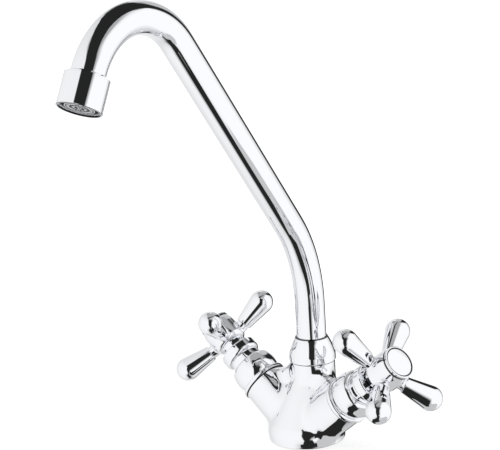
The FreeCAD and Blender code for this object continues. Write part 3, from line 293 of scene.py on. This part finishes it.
def flow_former(centre, axis):
    """Moulded rings, light grey at their lips, with painted shade darkening the slots deeper down."""
    high = extent("aerator_insert", centre, axis)[1]
    made, nodes = material("outlet_rings")
    along = axis_fields(nodes, centre, axis)[0]
    field = noise(nodes, OUTLET_GRAIN, 3.0)
    # Painted shade: the rings turn near-black deeper than their lips
    colour = nodes.blend(nodes.step(along, high - LIP_DARK, high - LIP_LIGHT), SLOT_SHADE_COLOUR, LIP_COLOUR)
    grained(nodes, colour, 0.0, OUTLET_ROUGH, field, [(field, OUTLET_DEPTH)])
    give("aerator_insert", made)


def screen(centre, axis):
    """Screen with pressed rings, light on top, with painted shade between them."""
    made, nodes = material("outlet_screen")
    out = axis_fields(nodes, centre, axis)[1]
    wave = nodes.math("SINE", nodes.math("MULTIPLY", out, 2 * math.pi / SCREEN_RING))
    # Painted shade: near-black in the grooves between the rings
    colour = nodes.blend(nodes.step(wave, -RING_EDGE, RING_EDGE), GROOVE_SHADE_COLOUR, RING_COLOUR)
    field = noise(nodes, OUTLET_GRAIN, 3.0)
    bumps = [(wave, RING_DEPTH), (field, OUTLET_DEPTH)]
    grained(nodes, colour, SCREEN_METAL, OUTLET_ROUGH, field, bumps)
    give("aerator_mesh", made)


def shell(centre, axis):
    """Sleeve with a painted shade line round its rim and painted shade in its bore."""
    high = extent("aerator_shell", centre, axis)[1]
    lines = [((high - MOUTH_LINE, high + FAR), MOUTH_RIM), ((high - BORE_LINE, high + FAR), MOUTH_BORE)]
    give("aerator_shell", chrome("aerator_shell_chrome", TURNED_FINISH, (centre, axis, lines)))


outlet = middle("aerator_washer")
outlet_axis = (outlet - middle("outlet_bush")).normalized()
flow_former(outlet, outlet_axis)
screen(outlet, outlet_axis)
shell(outlet, outlet_axis)


# Studio: a white floor and world, soft lamps, and a surround that only the metal mirrors

FLOOR_SIZE, FLOOR_DROP = 6.0, 0.0002
PAPER, SHADOW_DEPTH = 0.94, 0.35
FIBRE_SCALE, FIBRE_DEPTH = 300.0, 1e-5
# The paper's own glow for the camera: its level near the object, and where it starts and ends its rise to 1
GLOW_NEAR, GLOW_START, GLOW_END = 0.72, 0.08, 0.45
WORLD_LIGHT = 0.7

DOME_RADIUS, DOME_CENTRE = 0.6, (0, 0, 0.13)
DOME_TURNS, DOME_RINGS = 96, 48
EDGE_SOFT, TOP_SOFT = 2.0, 3.0
DARK, CEILING = 0.02, 0.43
CEILING_START, CEILING_END = 34.0, 62.0
BACK_GAP_HALF, BACK_SOFT = 12.0, 3.0
BACK_FOOT, BACK_FOOT_END = -52.0, -40.0
FADE_WIDTH = 32.0
RIGHT_START, RIGHT_FULL = 0.42, 1.05
# Turns in degrees from the front, rises in degrees above the dome's centre.
# The front gap's two edges and the back gap's middle, by rise
LEFT_EDGE = ((-90, -30), (-76, 12), (-58, 14), (-50, 18), (-42, 26), (-34, 31), (-26, 31), (-14, 27),
             (0, 24), (20, 23), (30, 20), (38, 14), (43, 13), (48, 6), (56, -7), (64, -25), (90, -30))
RIGHT_EDGE = ((-90, 90), (-76, 70), (-60, 52), (-50, 40), (-40, 41), (-30, 43), (-20, 48), (-8, 51),
              (6, 51), (20, 55), (27, 57), (34, 64), (38, 65), (46, 62), (52, 63), (62, 68), (90, 80))
BACK_GAP = ((-90, 208), (-30, 202), (-18, 192), (6, 192), (18, 184), (30, 177), (50, 171), (90, 171))
# The left box's level at its edge, and how far the right box takes to reach its full level, by rise
LEFT_FADE = ((-90, 0.4), (-66, 0.45), (-54, 0.55), (-42, 0.72), (-28, 0.95), (-10, 1.0), (90, 1.0))
RIGHT_RAMP = ((-90, 60), (-60, 50), (-40, 32), (-20, 14), (20, 12), (26, 14), (32, 26), (40, 23), (46, 28),
              (52, 42), (58, 80), (90, 90))
# The boxes' levels by turn, their levels by rise and their tops by turn
LEFT_LEVELS = ((-180, 0.75), (-165, 0.6), (-155, 0.6), (-144, 0.7), (-130, 0.88), (-116, 0.87),
               (-100, 0.81), (-84, 0.87), (-70, 0.93), (-50, 0.98), (-20, 1.01), (30, 1.0), (180, 1.0))
RIGHT_LEVELS = ((-180, 1.0), (150, 1.0), (160, 0.88), (168, 0.82), (180, 0.66))
LEFT_HEIGHTS = ((-90, 0.02), (-84, 0.3), (-76, 0.8), (-64, 0.95), (-40, 0.99), (-10, 1.0), (20, 0.99),
                (36, 0.94), (48, 0.89), (60, 0.82), (90, 0.8))
RIGHT_HEIGHTS = ((-90, 0.02), (-84, 0.3), (-76, 0.6), (-66, 0.8), (-50, 0.96), (-36, 1.0), (40, 1.0),
                 (48, 0.95), (56, 0.8), (66, 0.6), (90, 0.5))
LEFT_TOPS = ((-180, 50), (-160, 54), (-130, 53), (-118, 42), (-105, 44), (-90, 57), (-75, 64), (-40, 64),
             (-22, 59), (-8, 54), (10, 50), (30, 48), (180, 48))
RIGHT_TOPS = ((-180, 16), (40, 60), (60, 64), (130, 66), (145, 55), (156, 50), (168, 38), (180, 16))
# Outlines of two dark flags that carry the gap on nearer than the dome, and of a grey card that paints the
# table's shadow into the chrome's reflections
OVER_HEIGHT, UNDER_HEIGHT, TABLE_HEIGHT = 0.33, -0.06, -0.061
# Glow of the card that paints the table's shadow into the chrome's reflections
TABLE_SHADOW_LEVEL = 0.6
OVER_FLAG = ((0.02, 0.08), (0.045, 0.08), (0.05, -0.09), (0.053, -0.115), (0.06, -0.135), (0.066, -0.147),
             (0.084, -0.165), (0.103, -0.175), (0.13, -0.185), (0.16, -0.198), (0.172, -0.215),
             (0.182, -0.227), (0.198, -0.24), (0.22, -0.27), (0.24, -0.33), (0.075, -0.33), (0.066, -0.29),
             (0.058, -0.265), (0.052, -0.245), (0.035, -0.225), (0.018, -0.205), (0.003, -0.185),
             (-0.012, -0.165), (-0.018, -0.155), (-0.035, -0.14), (-0.042, -0.12), (-0.045, -0.10),
             (-0.03, -0.085), (-0.001, -0.075), (0.01, -0.055), (0.018, 0.0))
UNDER_FLAG = ((-0.005, 0.03), (0.012, 0.04), (0.03, 0.005), (0.036, -0.02), (0.052, -0.036),
              (0.105, -0.036), (0.118, -0.07), (0.16, -0.105), (0.27, -0.19), (0.24, -0.25),
              (0.12, -0.15), (0.075, -0.118), (0.042, -0.108), (0.025, -0.085), (0.02, -0.045),
              (0.005, -0.032))
TABLE_SHADOW = ((0.02, 0.06), (0.036, -0.02), (0.06, -0.075), (0.13, -0.075), (0.2, -0.06), (0.23, 0.02),
              (0.2, 0.06))

# Name, place, width and power of each lamp
LAMPS = (
    ("key_lamp", (-1.1, -1.3, 1.6), 1.2, 14.0),
    ("fill_lamp", (1.6, -0.9, 1.2), 1.4, 9.0),
    ("top_lamp", (0.1, 0.4, 2.0), 1.2, 8.0),
)


def glowing(nodes, level):
    """White light of its own at this level."""
    return nodes.add("ShaderNodeEmission", {"Color": (1, 1, 1, 1), "Strength": level})


def floor():
    """White paper that keeps a soft shadow near the object and reads white all round it."""
    bpy.ops.mesh.primitive_plane_add(size=FLOOR_SIZE, location=(0, 0, -FLOOR_DROP))
    made = bpy.context.object
    made.name = "floor"
    surface, nodes = material("floor_paper")
    where = nodes.add("ShaderNodeTexCoord").outputs["Object"]
    fibre = noise(nodes, FIBRE_SCALE)
    bump = nodes.add("ShaderNodeBump", {"Height": fibre, "Strength": 1.0, "Distance": FIBRE_DEPTH})
    paper = nodes.add("ShaderNodeBsdfDiffuse", {"Color": (PAPER,) * 3 + (1,), "Normal": bump})
    shaded = nodes.add("ShaderNodeBsdfDiffuse", {"Color": (SHADOW_DEPTH,) * 3 + (1,), "Normal": bump})
    away = nodes.vector("LENGTH", where).outputs["Value"]
    glow = glowing(nodes, nodes.step(away, GLOW_START, GLOW_END, GLOW_NEAR, 1.0))
    seen = nodes.add("ShaderNodeAddShader", {0: shaded, 1: glow})
    path = nodes.add("ShaderNodeLightPath").outputs["Is Camera Ray"]
    mix = nodes.add("ShaderNodeMixShader", {0: path, 1: paper, 2: seen})
    nodes.add("ShaderNodeOutputMaterial", {"Surface": mix})
    made.data.materials.append(surface)
    made.visible_glossy = False


def world():
    """White where it is seen, and a softer light where it only lights."""
    made = bpy.data.worlds.new("studio")
    bpy.context.scene.world = made
    made.use_nodes = True
    nodes = Nodes(made.node_tree)
    path = nodes.add("ShaderNodeLightPath")
    seen = nodes.math("MAXIMUM", path.outputs["Is Camera Ray"], path.outputs["Is Glossy Ray"])
    seen = nodes.math("MAXIMUM", seen, path.outputs["Is Transmission Ray"])
    white = nodes.add("ShaderNodeBackground", {"Color": (1, 1, 1, 1), "Strength": 1.0})
    light = nodes.add("ShaderNodeBackground", {"Color": (1, 1, 1, 1), "Strength": WORLD_LIGHT})
    mix = nodes.add("ShaderNodeMixShader", {0: seen, 1: light, 2: white})
    nodes.add("ShaderNodeOutputWorld", {"Surface": mix})


def mirrored_only(made):
    """Leaves an object to the mirror images in the chrome and nowhere else."""
    made.visible_camera = False
    made.visible_diffuse = False
    made.visible_transmission = False
    made.visible_shadow = False


def surround():
    """A dome lit like two tall soft boxes with dark gaps in front and behind, under a grey ceiling."""
    bpy.ops.mesh.primitive_uv_sphere_add(
        segments=DOME_TURNS, ring_count=DOME_RINGS, radius=DOME_RADIUS, location=DOME_CENTRE)
    made = bpy.context.object
    made.name = "surround"
    surface, nodes = material("surround_light")
    where = nodes.add("ShaderNodeTexCoord").outputs["Object"]
    x, y, z = nodes.add("ShaderNodeSeparateXYZ", {"Vector": where}).outputs
    turn = nodes.math("DEGREES", nodes.math("ARCTAN2", x, nodes.math("MULTIPLY", y, -1.0)))
    rise = nodes.math("DEGREES", nodes.math("ARCSINE", nodes.math("DIVIDE", z, DOME_RADIUS)))

    past = nodes.math("SUBTRACT", nodes.curve(rise, LEFT_EDGE), turn)
    fade = nodes.step(past, 0.0, FADE_WIDTH, nodes.curve(rise, LEFT_FADE), 1.0)
    left = soft_box(nodes, (turn, rise), past, (LEFT_TOPS, LEFT_LEVELS, LEFT_HEIGHTS), fade)

    past = nodes.math("SUBTRACT", turn, nodes.curve(rise, RIGHT_EDGE))
    fade = nodes.step(past, 0.0, nodes.curve(rise, RIGHT_RAMP), RIGHT_START, RIGHT_FULL)
    right = soft_box(nodes, (turn, rise), past, (RIGHT_TOPS, RIGHT_LEVELS, RIGHT_HEIGHTS), fade)

    round_turn = nodes.math("MODULO", nodes.math("ADD", turn, 360.0), 360.0)
    off = nodes.math("ABSOLUTE", nodes.math("SUBTRACT", round_turn, nodes.curve(rise, BACK_GAP)))
    beside = nodes.step(off, BACK_GAP_HALF - BACK_SOFT, BACK_GAP_HALF + BACK_SOFT)
    below = nodes.step(rise, BACK_FOOT, BACK_FOOT_END, 1.0, 0.0)
    boxes = nodes.math("MULTIPLY", nodes.math("MAXIMUM", left, right), nodes.math("MAXIMUM", beside, below))
    level = nodes.math("MAXIMUM", boxes, nodes.step(rise, CEILING_START, CEILING_END, DARK, CEILING))
    nodes.add("ShaderNodeOutputMaterial", {"Surface": glowing(nodes, level)})
    made.data.materials.append(surface)
    mirrored_only(made)


def soft_box(nodes, at, past, curves, fade):
    """Level of one box, from how far past its edge a spot lies and from its turn and rise."""
    turn, rise = at
    tops, levels, heights = curves
    below = nodes.math("SUBTRACT", nodes.curve(turn, tops), rise)
    inside = nodes.step(past, -EDGE_SOFT, EDGE_SOFT)
    level = nodes.math("MULTIPLY", inside, nodes.step(below, -TOP_SOFT, TOP_SOFT))
    level = nodes.math("MULTIPLY", level, fade)
    level = nodes.math("MULTIPLY", level, nodes.curve(turn, levels))
    return nodes.math("MULTIPLY", level, nodes.curve(rise, heights))


def card(name, outline, height, level):
    """A flat card glowing at one level, seen only in the chrome's reflections."""
    mesh = bpy.data.meshes.new(name)
    mesh.from_pydata([(x, y, height) for x, y in outline], [], [range(len(outline))])
    made = bpy.data.objects.new(name, mesh)
    bpy.context.scene.collection.objects.link(made)
    surface, nodes = material(name + "_glow")
    nodes.add("ShaderNodeOutputMaterial", {"Surface": glowing(nodes, level)})
    mesh.materials.append(surface)
    mirrored_only(made)


def lamp(name, place, size, power):
    data = bpy.data.lights.new(name, "AREA")
    data.shape = "DISK"
    data.size = size
    data.energy = power
    made = bpy.data.objects.new(name, data)
    made.location = place
    made.rotation_mode = "QUATERNION"
    made.rotation_quaternion = (Vector(place) - LAMP_TARGET).to_track_quat("Z", "Y")
    made.visible_glossy = False
    bpy.context.scene.collection.objects.link(made)


def camera():
    turn, rise = math.radians(AZIMUTH), math.radians(ELEVATION)
    back = Vector((math.sin(turn) * math.cos(rise), -math.cos(turn) * math.cos(rise), math.sin(rise)))
    right = Vector((math.cos(turn), math.sin(turn), 0))
    up = back.cross(right)
    place = AIM + back * DISTANCE
    yaw = Matrix.Rotation(math.radians(YAW), 3, up)
    right, back = yaw @ right, yaw @ back
    pitch = Matrix.Rotation(math.radians(PITCH), 3, right)
    up, back = pitch @ up, pitch @ back
    roll = Matrix.Rotation(math.radians(ROLL), 3, back)
    right, up = roll @ right, roll @ up
    data = bpy.data.cameras.new("camera")
    data.sensor_width, data.lens = SENSOR, LENS
    data.clip_start, data.clip_end = NEAR, BEYOND
    made = bpy.data.objects.new("camera", data)
    turned = Matrix((right, up, back)).transposed().to_4x4()
    made.matrix_world = Matrix.Translation(place) @ turned
    bpy.context.scene.collection.objects.link(made)
    bpy.context.scene.camera = made


floor()
world()
surround()
card("over_flag", OVER_FLAG, OVER_HEIGHT, DARK)
card("under_flag", UNDER_FLAG, UNDER_HEIGHT, DARK)
# A glowing grey card seen only in the chrome: painted shadow of the table near the object
card("table_shadow", TABLE_SHADOW, TABLE_HEIGHT, TABLE_SHADOW_LEVEL)
for row in LAMPS:
    lamp(*row)
camera()
bpy.context.scene.view_settings.view_transform = "Standard"
